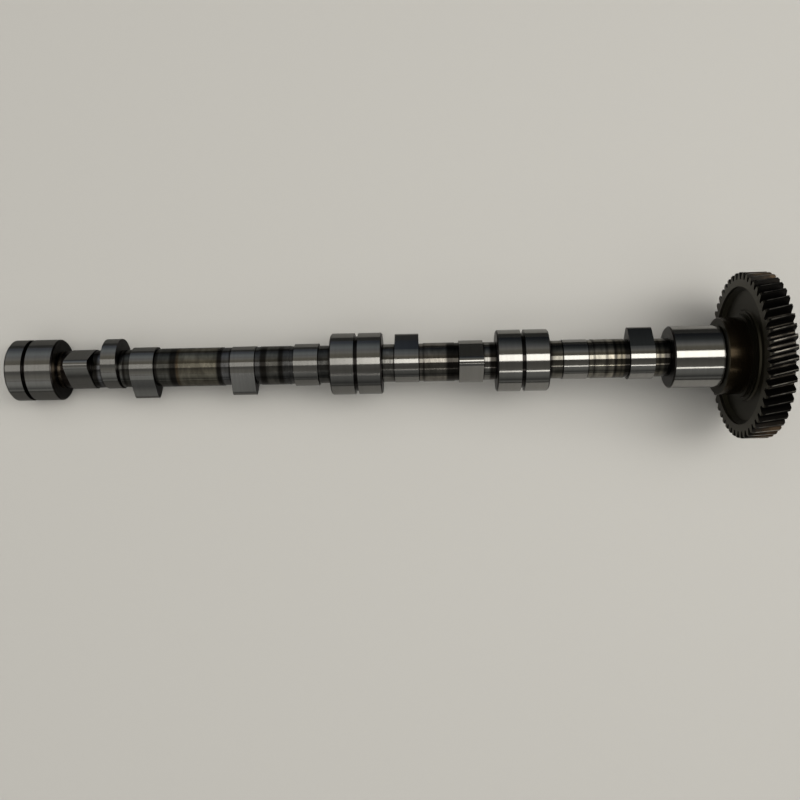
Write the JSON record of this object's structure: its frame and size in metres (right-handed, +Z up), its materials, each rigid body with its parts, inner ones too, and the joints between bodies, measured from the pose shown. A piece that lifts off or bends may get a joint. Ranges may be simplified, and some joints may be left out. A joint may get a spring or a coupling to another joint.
{
  "type": "camshaft",
  "caption": "In-block engine camshaft with round bearing journals, valve cams, a round pump cam and a helical timing gear keyed to its front end, lying on a flat surface.",
  "frame": {"origin": "middle of the bounding box's bottom, on the floor that the camshaft lies on", "axes": "+X along the floor from the rear journal to the gear end, +Y across, +Z up; the shaft's own line rises by 4.04 degrees towards the gear"},
  "size_m": [0.6156, 0.1332, 0.1342],
  "materials": {
    "ground_steel": "ground and polished round the journals and cams, darker and heat-stained between them",
    "dark_gear_steel": "dark brown-black oxide with an oily sheen",
    "key_steel": "bright drawn key steel"
  },
  "bodies": {
    "root": {"camshaft": "ground_steel", "cam_gear": "dark_gear_steel", "gear_key": "key_steel"}
  },
  "joints": []
}
